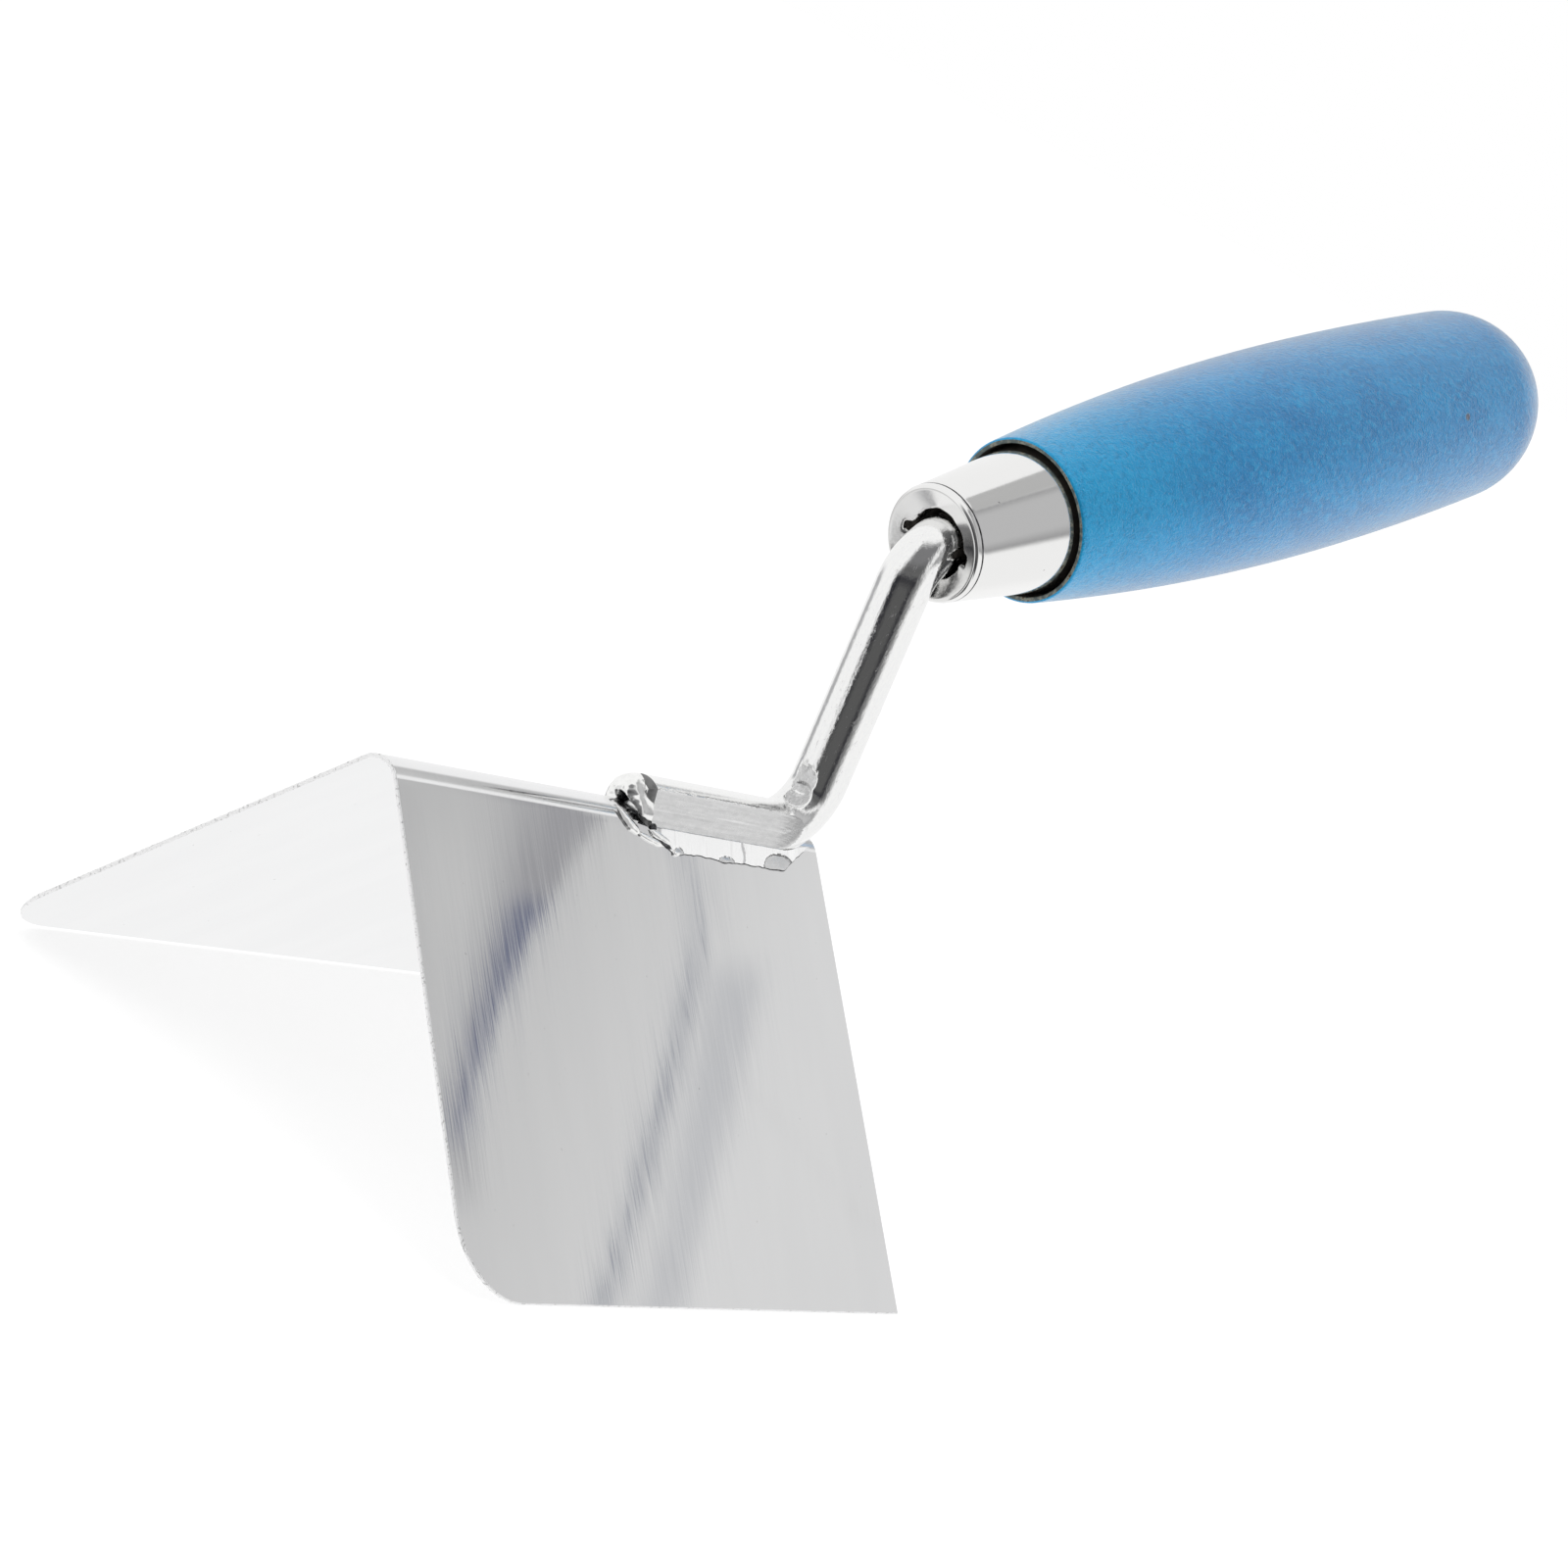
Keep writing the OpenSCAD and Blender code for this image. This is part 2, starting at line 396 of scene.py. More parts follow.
def dented(point):
    """The point, pressed flat where a hammer mark lies, and whether one does."""
    hit = False
    for centre, out, radius, depth in MARKS:
        away = point - centre
        height = away.dot(out)
        side = (away - height * out).length
        if side < MARK_FADE * radius and height > -depth:
            press = ease((MARK_FADE - side / radius) / 0.2)
            point = point - (height + depth) * press * out
            hit = hit or side < MARK_LOOK * radius
    return point, hit


def last_inside(whole, test):
    """How far along a ray, up to its whole length, a test still holds."""
    if test(whole):
        return whole
    low, high = 0.0, whole
    for _ in range(22):
        middle = (low + high) / 2
        low, high = (middle, high) if test(middle) else (low, middle)
    return low


# Rays to the rod's surface start this far above its axis, so that they clear the blade's fold
HUB_RISE = 1.5
# The rounded front end: its radius and number of rings
NOSE_ROUND = 1.0
NOSE_RINGS = 6
# The burr along the upper edge of the ground sides: where it and its bright look (a ring) end; the
# bright look is a painted highlight
BURR_END = 86
BURR_RINGS = 60


def rod_point(centre, heading, angle, shrink):
    """A point of the rod's surface at an angle round a ring, cut back by the blade and by the
    ground sides, and whether it lies on a ground face."""
    up = Vector((-math.sin(heading), 0, math.cos(heading)))
    out = math.cos(angle) * up + math.sin(angle) * Vector((0, 1, 0))
    hub = Vector((centre[0], 0, centre[1])) + HUB_RISE * up
    lean = HUB_RISE * math.cos(angle)
    whole = -lean + math.sqrt(lean * lean + (ROD_R - shrink) ** 2 - HUB_RISE**2)

    def between_flats(reach):
        return outside_flats(hub + reach * out, shrink) <= 0

    def over_blade(reach):
        point = hub + reach * out
        return point.x > RIDGE_LEN or above_blade(point.y, point.z) >= 0

    to_flat = last_inside(whole, between_flats)
    to_blade = last_inside(whole, over_blade)
    ground = to_flat < whole - 0.02 and to_flat <= to_blade
    burr = 0.0
    if to_flat < to_blade and centre[0] < BURR_END:
        burr = 0.10 * math.exp(-(((whole - to_flat - 0.04) / 0.05) ** 2))
        burr *= max(0.0, 0.8 + lump(centre[0], 0, 0, 0.7, 6.1))
    point, hit = dented(hub + (min(whole, to_flat, to_blade) + burr) * out)
    return point, ground or hit


def shank_rings(turns):
    """Rings of (point, whether it lies on a ground face) from the rod's front end to the tang."""
    rings = []
    for turn in reversed(steps(0, math.pi / 2, NOSE_RINGS)[:-1]):
        centre = (FOOT_START + NOSE_ROUND * (1 - math.sin(turn)), FOLD_TOP_Z)
        shrink = NOSE_ROUND * (1 - math.cos(turn))
        rings.append([rod_point(centre, 0, angle, shrink) for angle in turns])
    for centre, heading in rod_path():
        if centre[0] > FOOT_START + NOSE_ROUND:
            rings.append([rod_point(centre, heading, angle, 0) for angle in turns])
    return rings


def build_shank(plated, ground, painted_grey, burr):
    """The rod: painted shade in grey on its rounded front end, ground sides, and a ragged burr
    along their edges.
    """
    skin = Skin()
    turns = around(180)
    rings = shank_rings(turns)
    rows = [skin.row([place(point) for point, _ in ring]) for ring in rings]
    look_plated, look_ground, look_painted_grey, look_burr = range(4)
    for count, (a, b, ring) in enumerate(zip(rows, rows[1:], rings)):
        burred = NOSE_RINGS <= count < BURR_RINGS and lump(count, 0, 0, 1.7, 5.7) > -0.25
        flags = [flag for _, flag in ring]
        for i, angle in enumerate(turns):
            j = (i + 1) % len(turns)
            skin.current = look_ground if flags[i] or flags[j] else look_plated
            # the rounded front end is painted grey shade
            if count < NOSE_RINGS:
                skin.current = look_painted_grey
            edge = flags[i] != flags[j] or flags[i - 1] != flags[i]
            # the burr's faces take the pale edge material, a painted highlight
            if burred and edge and math.cos(angle) > -0.2:
                skin.current = look_burr
            skin.face(a[i], a[j], b[j], b[i])
    skin.current = look_plated
    skin.cap(rows[0], place((FOOT_START, 0, FOLD_TOP_Z + HUB_RISE)))
    (x, z), _ = rod_path()[-1]
    skin.cap(rows[-1], place((x, 0, z)))
    return skin.piece("shank_rod", "shank", [plated, ground, painted_grey, burr], 40)


# ---------------------------------------------------------------- welds


# Down the flange from the sharp corner: the foot's ground sides and the fillet's lower edge
FLAT_FOOT = 5.15
FILLET_REACH = 8.1
# Along the fold: the fillet's ends
FILLET_START = 53.8
FILLET_END = 91.8
# How far the fillet's hidden underside lies under the flange's face
BURIED = 0.06
# Low places along the fillet: centre along the fold and down the flange, and half sizes
SUNK = ((59.0, 8.2, 1.2, 0.9), (70.3, 8.1, 1.9, 0.7), (83.2, 7.9, 3.9, 2.1))
# A thin ridge across the fillet, where two passes of the weld meet
RIDGE_X = 74.6


def on_side(side, x, d, lift):
    """A point over the flange at that side, a distance down from the sharp corner."""
    return place(
        (
            x,
            side * (d * math.sin(HALF) + lift * math.cos(HALF)),
            -d * math.cos(HALF) + lift * math.sin(HALF),
        )
    )


def fillet_low(x, side):
    """How far down the flange the fillet's wavy lower edge lies."""
    wave = 0.28 * lump(x, side, 0, 4.5, 1.7) + 0.16 * lump(x, side, 0, 1.2, 4.2)
    low = FILLET_REACH + wave - 2.0 * (1 - ease((x - 53.5) / 4.5))
    low -= 0.3 * ease((x - 76) / 8) + 3.7 * ease((x - 83.2) / 8.8)
    for cx, _, rx, _ in SUNK:
        low += 0.3 * math.exp(-(((x - cx) / rx) ** 2))
    return low


def sunk_inside(x, d):
    """How far inside the nearest low place a point lies, from 1 at its middle to 0 at its rim."""
    return max(1 - math.hypot((x - cx) / rx, (d - cd) / rd) for cx, cd, rx, rd in SUNK)


def fillet_lift(x, d, low, side):
    """Height of the fillet's ground face over the flange."""
    lift = 0.46 - 0.12 * (d - FLAT_FOOT) + 0.005 * lump(x, d, side, 2.5, 9.3)
    lift *= min(1.0, max(0.2, (low - FLAT_FOOT) / 2))
    inside = sunk_inside(x, d)
    lift += (0.05 + 0.2 * inside - lift) * ease(inside / 0.1)
    ridge = math.exp(-(((x - RIDGE_X - 0.2 * math.sin(2 * d)) / 0.2) ** 2))
    return lift + 0.16 * ridge


def fillet_ring(side, x, across):
    """A closed section of the fillet: over its face, down its lower edge and back underneath;
    and how far inside a low place each point of the face lies."""
    ends = ease((x - FILLET_START) / 1.5) * ease((FILLET_END - x) / 3.5)
    top = FLAT_FOOT + 0.05 - 1.3 * ease((x - 84) / 8)
    low = max(top + 0.3, fillet_low(x, side))
    down = [top + (low - top) * t for t in across]
    ring = [on_side(side, x, top, -BURIED)]
    ring += [on_side(side, x, d, ends * fillet_lift(x, d, low, side) - 0.04) for d in down]
    lift = ends * fillet_lift(x, low, low, side)
    ring.append(on_side(side, x, low + 0.13, 0.5 * lift - 0.04))
    ring.append(on_side(side, x, low + 0.16, -BURIED))
    ring += [on_side(side, x, d, -BURIED) for d in reversed(down)]
    return ring, [sunk_inside(x, d) for d in down]


def build_fillet(side, materials):
    """The ground weld along one side of the foot: a flat strip, its wavy lower edge dark with
    painted shadow.

    Its materials are for the face, the lower edge's painted shadow, the low places and their
    outlines of painted shade."""
    skin = Skin()
    across = steps(0, 1, 20)
    face, shadow_wall, low_place, outline = range(4)
    sections = [fillet_ring(side, x, across) for x in steps(FILLET_START, FILLET_END, 200)]
    rows = [skin.row(ring) for ring, _ in sections]
    for a, b, (_, inside) in zip(rows, rows[1:], sections):
        for i in range(len(a)):
            j = (i + 1) % len(a)
            # the lower edge's two strips are dark with painted shadow
            skin.current = shadow_wall if i in (len(across), len(across) + 1) else face
            # the low places' outlines take the grey painted shade
            if 0 < i < len(across) and inside[i - 1] > -0.02:
                skin.current = low_place if inside[i - 1] > 0.06 else outline
            skin.face(a[i], a[j], b[j], b[i])
    skin.current = face
    for ring in (rows[0], rows[-1]):
        skin.seal(ring)
    name = "weld_left" if side < 0 else "weld_right"
    return skin.piece(name + "_bead", name, materials, 35)


# The toe bead's hood reaches this far back; its crater has its middle at (y, z)
TOE_BACK = FOOT_START + 0.9
CRATER_Y = -1.5
CRATER_Z = -2.5


def hollow(y, z):
    """Depth of the open crater in the toe bead, low on its left side."""
    along = -(0.9 * (y - CRATER_Y) + 0.44 * (z - CRATER_Z))
    across = 0.44 * (y - CRATER_Y) - 0.9 * (z - CRATER_Z)
    wide = 0.8 + 0.2 * lump(along, 0, 0, 0.8, 1.1)
    away = math.hypot(along / 2.6, across / wide)
    return 2.4 * ease((1.25 - away) / 0.4)


def toe_point(angle, out_to):
    """A point of the hood, from its middle (out_to is 0) to its rim (1), and whether it lies
    deep in the crater."""
    open_side = math.remainder(angle + math.radians(44), 2 * math.pi) / math.radians(40)
    radius = ROD_R + 0.05 - 1.2 * math.exp(-(open_side**2))
    radius *= 1 + 0.05 * lump(math.cos(angle), math.sin(angle), 0, 0.5, 5.5)
    y = radius * out_to * math.sin(angle)
    z = FOLD_TOP_Z + radius * out_to * math.cos(angle)
    dome = 3.1 * math.sqrt(max(0.0, 1 - out_to**4))
    dome *= 1 + 0.10 * lump(y, z, 0, 1.7, 8.8) + 0.05 * lump(y, z, 0, 0.6, 3.3)
    x = TOE_BACK - dome + min(hollow(y, z), dome + 0.4)
    lower = -(above_blade(y, z) + 0.05)
    if lower > 0:
        side = math.copysign(1, y) if abs(y) > 0.2 else 0
        y += side * lower * math.cos(HALF)
        z += lower * (math.sin(HALF) if side else 1)
    return place((x, y, z)), hollow(y, z) > 0.9


def toe_skin(skin):
    """A lumpy hood over the front end of the foot, open low on the left."""
    turns = around(96)
    bright, painted_shadow = range(2)
    rings = [[toe_point(a, out_to) for a in turns] for out_to in steps(1.0, 0.0, 40)[:-1]]
    rows = [skin.row([point for point, _ in ring]) for ring in rings]
    for a, b, ring in zip(rows, rows[1:], rings):
        for i, (_, deep) in enumerate(ring):
            j = (i + 1) % len(turns)
            # faces deep in the crater take the near-black painted shade
            skin.current = painted_shadow if deep else bright
            skin.face(a[i], a[j], b[j], b[i])
    skin.current = bright
    skin.cap(rows[0], place((TOE_BACK, 0, FOLD_TOP_Z + 1)))
    skin.seal(rows[-1])


def tail_skin(skin, stations):
    """A drawn-out bead on the left flange through (along, down, radius) stations."""
    spots = []
    for (xa, da, ra), (xb, db, rb) in zip(stations, stations[1:]):
        for t in steps(0, 1, 10)[:-1]:
            spots.append((xa + (xb - xa) * t, da + (db - da) * t, ra + (rb - ra) * ease(t)))
    spots.append(stations[-1])
    loops = []
    for i, (x, d, radius) in enumerate(spots):
        fade = ease(i / 4) * ease((len(spots) - 1 - i) / 4)
        thick = max(0.02, radius * (1 + 0.2 * lump(x, d, 0, 0.9, 2.2)) * fade)
        loop = []
        for a in around(20):
            slant = 0.45 * thick * math.cos(a)
            down = d + 0.9 * thick * math.cos(a)
            loop.append(on_side(-1, x - slant, down, 0.5 * thick * math.sin(a) + 0.1))
        loops.append(skin.row(loop))
    for a, b in zip(loops, loops[1:]):
        skin.bridge(a, b, closed=True)
    for ring in (loops[0], loops[-1]):
        skin.seal(ring)


# Stations (along the fold, down the flange, radius) of the beads drawn out from the toe
BRIGHT_TAILS = (
    ((46.0, 3.0, 0.4), (47.3, 4.2, 0.8), (48.6, 5.3, 0.85), (50.8, 6.4, 0.5)),
    ((50.0, 6.2, 0.4), (52.2, 6.8, 0.5), (55.9, 7.6, 0.4)),
    ((52.7, 5.5, 0.45), (55.0, 6.3, 0.6), (57.8, 7.2, 0.5)),
    ((57.4, 8.1, 0.35), (58.4, 8.3, 0.5), (59.4, 8.2, 0.3)),
)
# Dark beads set where shade falls beside the toe: painted shadow
SHADOW_TAILS = (
    ((53.0, 4.8, 0.4), (53.9, 5.0, 0.6), (54.7, 5.3, 0.35)),
    ((53.6, 6.5, 0.25), (55.6, 7.0, 0.35), (57.6, 7.8, 0.35)),
)


def build_toe(material, painted_shade):
    """The molten bead over the foot's front end and the beads drawn out from it; its crater and
    the dark beads carry painted shade.
    """
    skin = Skin()
    toe_skin(skin)
    for stations in BRIGHT_TAILS:
        tail_skin(skin, stations)
    # the dark beads, in the painted-shade material
    skin.current = 1
    for stations in SHADOW_TAILS:
        tail_skin(skin, stations)
    return skin.piece("weld_toe_bead", "weld_toe", [material, painted_shade], 60)


# ---------------------------------------------------------------- ferrule and handle


def lathe(skin, outline, count, hole=None):
    """Turns (radius, along) points round the handle's axis into rings, and joins them."""
    rings = []
    for radius, along in outline:
        ring = []
        for angle in around(count):
            reach = hole(radius, along, angle) if hole else radius
            ring.append(place_on_neck(reach, angle, along))
        rings.append(skin.row(ring))
    for a, b in zip(rings, rings[1:]):
        skin.bridge(a, b, closed=True)
    return rings


def cone_r(u):
    """The ferrule's outer radius at a distance behind its front rim."""
    return FERRULE_R_FRONT + (FERRULE_R_MOUTH - FERRULE_R_FRONT) * u / FERRULE_LEN


def notched(radius, along, angle):
    """The hole's edge, opened by a small notch at each side of the tool."""
    notch = math.exp(-((math.sin(angle) * HOLE_R / 0.75) ** 4))
    near = ease((6.2 - radius) / (6.2 - HOLE_R + LIP_IN)) if along < 4 else 0.0
    wobble = 0.06 * math.sin(5 * angle + 0.7) + 0.04 * math.sin(11 * angle)
    return radius + ((NOTCH_REACH - HOLE_R + LIP_IN) * notch + wobble) * near


def ferrule_dish(hole, face_r, rim_u):
    """(radius, along) points from inside the collar, over its lip and up the dished face."""
    dish = [
        (hole + 0.05, DISH_DEPTH + 2.2),
        (hole, DISH_DEPTH + 1.0),
        (hole + 0.08, DISH_DEPTH + 0.45),
    ]
    for t in steps(0, 1, 12)[:-1]:
        sink = 0.85 * DISH_DEPTH * (1 - t)
        dish.append((hole + 0.3 + (face_r - hole - 0.3) * t, rim_u + sink))
    return dish


def ferrule_cone(end):
    """(radius, along) points back over the cone, with a shallow crease just behind the rim."""
    near = [0.7, 0.85, 0.95, 1.05, 1.15, 1.25, 1.35, 1.5, 1.7, 2.2]
    cone = []
    for u in near + [4, 7, 10, 13, 16, FERRULE_LEN, end]:
        crease = 0.03 * math.exp(-(((u - 1.15) / 0.16) ** 2))
        cone.append((cone_r(u) - crease, u))
    return cone


def build_ferrule(material, face, dark):
    """The pressed cap: a bright cone, a duller dished face and a dark line of painted shade in the
    crease.
    """
    end = FERRULE_LEN + UNDERCUT - 0.4
    rim = [
        (FERRULE_R_FRONT - RIM_ROUND * (1 - math.sin(a)), RIM_ROUND * (1 - math.cos(a)))
        for a in steps(-math.radians(14), math.radians(83), 12)
    ]
    dish = ferrule_dish(HOLE_R - LIP_IN, *rim[0])
    cone = ferrule_cone(end)
    inside = [
        (cone_r(end) - FERRULE_T, end),
        (cone_r(DISH_DEPTH + FERRULE_T) - FERRULE_T, DISH_DEPTH + FERRULE_T + 1.2),
        (HOLE_R + 0.8, DISH_DEPTH + 2.6),
    ]
    skin = Skin()
    bright, dull, line = range(3)
    skin.current = dull
    lathe(skin, dish + rim[:2], 144, notched)
    skin.current = bright
    lathe(skin, rim[1:] + cone[:3], 144)
    # the crease's faces take the painted-shade material, a dark line of shade
    skin.current = line
    lathe(skin, cone[2:6], 144)
    skin.current = bright
    outer = lathe(skin, cone[5:] + inside, 144, notched)
    inner = lathe(skin, dish[:1], 144, notched)
    skin.bridge(outer[-1], inner[0], closed=True)
    return skin.piece("ferrule_shell", "ferrule", [material, face, dark], 50)


def body_r(s):
    """The handle's radius at a distance behind its mouth."""
    taper = (HANDLE_R - MOUTH_R) / BELLY_S**2 if s < BELLY_S else REAR_TAPER
    return HANDLE_R - PAINT_IN - taper * (s - BELLY_S) ** 2


def handle_outline(mouth):
    """(radius, along) points from the mouth's chipped rim over the body to the rounded end."""
    end_s = HANDLE_LEN - END_LEN - PAINT_IN
    outline = [(mouth, 0.15), (mouth + 0.06, 0.04), (mouth + 0.15, 0.0), (MOUTH_R - 0.3, 0.0)]
    outline += [(MOUTH_R - 0.12, 0.05), (MOUTH_R - 0.03, 0.17), (body_r(0.4), 0.4)]
    outline += [(body_r(s), s) for s in steps(1.0, end_s, 60)]
    for a in steps(0, math.pi / 2, 24)[1:]:
        s = end_s + END_LEN * math.sin(a)
        outline.append((max(0.02, body_r(s) * math.cos(a)), s))
    return outline


def handle_bore(mouth):
    """(radius, along) points from the end of the tang's hole, round the tenon, to the mouth."""
    tenon_face = DISH_DEPTH + FERRULE_T - FERRULE_LEN
    gap = FERRULE_T + 0.05
    return [
        (ROD_R, TANG_DEPTH),
        (ROD_R, tenon_face + 3),
        (5.0, tenon_face),
        (cone_r(2) - gap, tenon_face),
        (cone_r(FERRULE_LEN) - gap, UNDERCUT),
        (mouth, UNDERCUT),
    ]


def build_handle(paint, worn, shadow):
    """The turned handle: painted body, worn rim round the mouth, bare wood inside that is dark
    with painted shade.
    """
    mouth = MOUTH_R - 1.9 * RIM_T
    outline = [(r, s + FERRULE_LEN) for r, s in handle_outline(mouth)]
    bore = [(r, s + FERRULE_LEN) for r, s in handle_bore(mouth)]
    skin = Skin()
    body, rim, inner = range(3)
    skin.current = rim
    rings = lathe(skin, outline[:4], 128)
    skin.current = body
    rings += lathe(skin, outline[3:], 128)
    skin.cap(rings[-1], place_on_neck(0, 0, FERRULE_LEN + HANDLE_LEN - PAINT_IN))
    # bare wood in the gap round the ferrule and in the tang's hole, dark with painted shade
    skin.current = inner
    inside = lathe(skin, bore, 128)
    skin.cap(inside[0], place_on_neck(0, 0, FERRULE_LEN + TANG_DEPTH))
    skin.bridge(inside[-1], rings[0], closed=True)
    return skin.piece("handle_body", "handle", [paint, worn, shadow], 40)


# ---------------------------------------------------------------- materials


class Shade:
    """Makes nodes in a material's or a world's tree; an input may be a value or a socket."""

    def __init__(self, tree):
        self.tree = tree
        tree.nodes.clear()

    def add(self, kind, inputs=(), **settings):
        """Makes a node, with its inputs by name or number and its own settings."""
        made = self.tree.nodes.new(kind)
        for key, value in settings.items():
            setattr(made, key, value)
        for key, value in dict(inputs).items():
            if isinstance(value, bpy.types.NodeSocket):
                self.tree.links.new(value, made.inputs[key])
            else:
                made.inputs[key].default_value = value
        return made

    def math(self, operation, *values):
        """A sum, product or other operation on values."""
        return self.add("ShaderNodeMath", enumerate(values), operation=operation).outputs[0]

    def product(self, first, *others):
        """All the values multiplied together."""
        for value in others:
            first = self.math("MULTIPLY", first, value)
        return first

    def vector(self, operation, *values):
        """The same on vectors."""
        made = self.add("ShaderNodeVectorMath", enumerate(values), operation=operation)
        return made.outputs["Value" if operation in ("DOT_PRODUCT", "LENGTH") else "Vector"]

    def remap(self, value, from_low, from_high, to_low=0.0, to_high=1.0, kind="SMOOTHSTEP"):
        """Carries the range between two values over to another one, and clamps it."""
        made = self.add("ShaderNodeMapRange", {0: value}, interpolation_type=kind)
        for i, number in enumerate((from_low, from_high, to_low, to_high)):
            made.inputs[i + 1].default_value = number
        return made.outputs[0]

    def noise(self, vector, scale, detail=4.0, rough=0.55, distortion=0.0):
        """Cloudy noise between 0 and 1, with scale features to a metre."""
        inputs = {"Vector": vector, "Scale": scale, "Detail": detail, "Roughness": rough}
        inputs["Distortion"] = distortion
        return self.add("ShaderNodeTexNoise", inputs).outputs["Fac"]

    def mix(self, factor, a, b):
        """Colour a where the factor is 0 and colour b where it is 1."""
        made = self.add("ShaderNodeMix", data_type="RGBA")
        for key, value in ((0, factor), (6, a), (7, b)):
            if isinstance(value, bpy.types.NodeSocket):
                self.tree.links.new(value, made.inputs[key])
            else:
                made.inputs[key].default_value = value
        return made.outputs[2]

    def stretched(self, scale=(1, 1, 1)):
        """The piece's own coordinates in metres, scaled along each axis."""
        coordinates = self.add("ShaderNodeTexCoord").outputs["Object"]
        return self.vector("MULTIPLY", coordinates, scale)


def grey(level):
    """A neutral colour."""
    return (level, level, level, 1)


def new_material(name):
    """A material and what adds nodes to it."""
    made = bpy.data.materials.new(name)
    made.use_nodes = True
    return made, Shade(made.node_tree)


def finish_material(shade, tone, rough, metallic=0.0, bump=None, more=()):
    """Ends a material with a Principled shader; a bump is (height, distance, strength)."""
    inputs = {"Base Color": tone, "Roughness": rough, "Metallic": metallic, **dict(more)}
    surface = shade.add("ShaderNodeBsdfPrincipled", inputs)
    if bump:
        height, distance, strength = bump
        inputs = {"Height": height, "Strength": strength, "Distance": distance}
        raised = shade.add("ShaderNodeBump", inputs)
        shade.tree.links.new(raised.outputs["Normal"], surface.inputs["Normal"])
    end = shade.add("ShaderNodeOutputMaterial")
    shade.tree.links.new(surface.outputs[0], end.inputs["Surface"])


def blade_material(name, low, high):
    """Polished sheet with a very fine grain across the fold, between two roughnesses."""
    made, shade = new_material(name)
    grain = shade.noise(shade.stretched((1.0, 0.02, 0.02)), 3200, 2, 0.5)
    broad = shade.noise(shade.stretched((1.0, 0.25, 0.25)), 160, 2, 0.5)
    speck = shade.noise(shade.stretched(), 1500, 2, 0.5)
    tone = shade.mix(
        shade.remap(broad, 0.3, 0.7), (0.855, 0.856, 0.860, 1), (0.870, 0.871, 0.874, 1)
    )
    tone = shade.mix(shade.remap(speck, 0.76, 0.80, 0, 0.5), tone, grey(0.5))
    rough = shade.remap(grain, 0.3, 0.7, low, high)
    height = shade.math("MULTIPLY_ADD", broad, 8.0, grain)
    finish_material(shade, tone, rough, 1.0, (height, 0.0000012, 0.5))
    return made


def edge_material():
    """Sheared edges of the sheet and the burr on the rod: pale and speckled, whitened to a painted
    highlight.
    """
    made, shade = new_material("cut_edge_painted_highlight")
    speck = shade.noise(shade.stretched(), 2200, 2, 0.6)
    tone = shade.mix(shade.remap(speck, 0.34, 0.46), grey(0.62), grey(0.94))
    finish_material(shade, tone, 0.45, 0.25, (speck, 0.00005, 0.6))
    return made


def rod_material():
    """Bright plating over a drawn rod, with small scuffs."""
    made, shade = new_material("plated_rod")
    fine = shade.noise(shade.stretched((1, 1, 0.5)), 3000, 3, 0.6)
    scuff = shade.noise(shade.stretched((1, 1, 0.3)), 1700, 3, 0.7)
    tone = shade.mix(shade.remap(fine, 0.3, 0.7), grey(0.90), (0.93, 0.93, 0.92, 1))
    rough = shade.remap(scuff, 0.60, 0.68, 0.06, 0.45)
    height = shade.math("MULTIPLY_ADD", scuff, 1.5, fine)
    finish_material(shade, tone, rough, 1.0, (height, 0.00003, 0.5))
    return made


def ground_material():
    """Ground sides of the foot: dull, with fine lines along it."""
    made, shade = new_material("ground_steel")
    lines = shade.noise(shade.stretched((0.05, 1, 1)), 2600, 3, 0.6)
    scratch = shade.noise(shade.stretched((0.03, 1, 1)), 900, 2, 0.5)
    grit = shade.noise(shade.stretched((0.5, 1, 1)), 1800, 3, 0.7)
    tone = shade.mix(shade.remap(lines, 0.3, 0.7), grey(0.66), grey(0.73))
    tone = shade.mix(shade.remap(scratch, 0.68, 0.73, 0, 0.6), tone, grey(0.90))
    height = shade.math("ADD", lines, grit)
    rough = shade.remap(grit, 0.3, 0.7, 0.24, 0.38)
    finish_material(shade, tone, rough, 1.0, (height, 0.00005, 0.5))
    return made


def weld_material():
    """Bright weld metal of the toe bead."""
    made, shade = new_material("weld_metal")
    lumps = shade.noise(shade.stretched(), 900, 3, 0.6)
    tone = shade.mix(shade.remap(lumps, 0.3, 0.7), (0.90, 0.90, 0.89, 1), (0.97, 0.97, 0.96, 1))
    rough = shade.remap(lumps, 0.3, 0.7, 0.10, 0.24)
    finish_material(shade, tone, rough, 1.0, (lumps, 0.00006, 0.5))
    return made


def ground_weld_material():
    """Weld metal ground to a pale satin, with faint lines across it."""
    made, shade = new_material("ground_weld")
    lines = shade.noise(shade.stretched((1, 0.1, 0.1)), 1500, 3, 0.6)
    tone = shade.mix(shade.remap(lines, 0.3, 0.45), grey(0.88), grey(0.98))
    rough = shade.remap(lines, 0.3, 0.7, 0.16, 0.26)
    finish_material(shade, tone, rough, 1.0, (lines, 0.00002, 0.5))
    return made


def painted_grey_material():
    """Even dark grey of painted shade, on the foot's rounded front end and round the fillets' low
    places.
    """
    made, shade = new_material("painted_shade_grey")
    cloud = shade.noise(shade.stretched(), 1200, 2, 0.5)
    tone = shade.mix(shade.remap(cloud, 0.3, 0.7), grey(0.17), grey(0.23))
    finish_material(shade, tone, 0.45, 0.4, (cloud, 0.00003, 0.4))
    return made


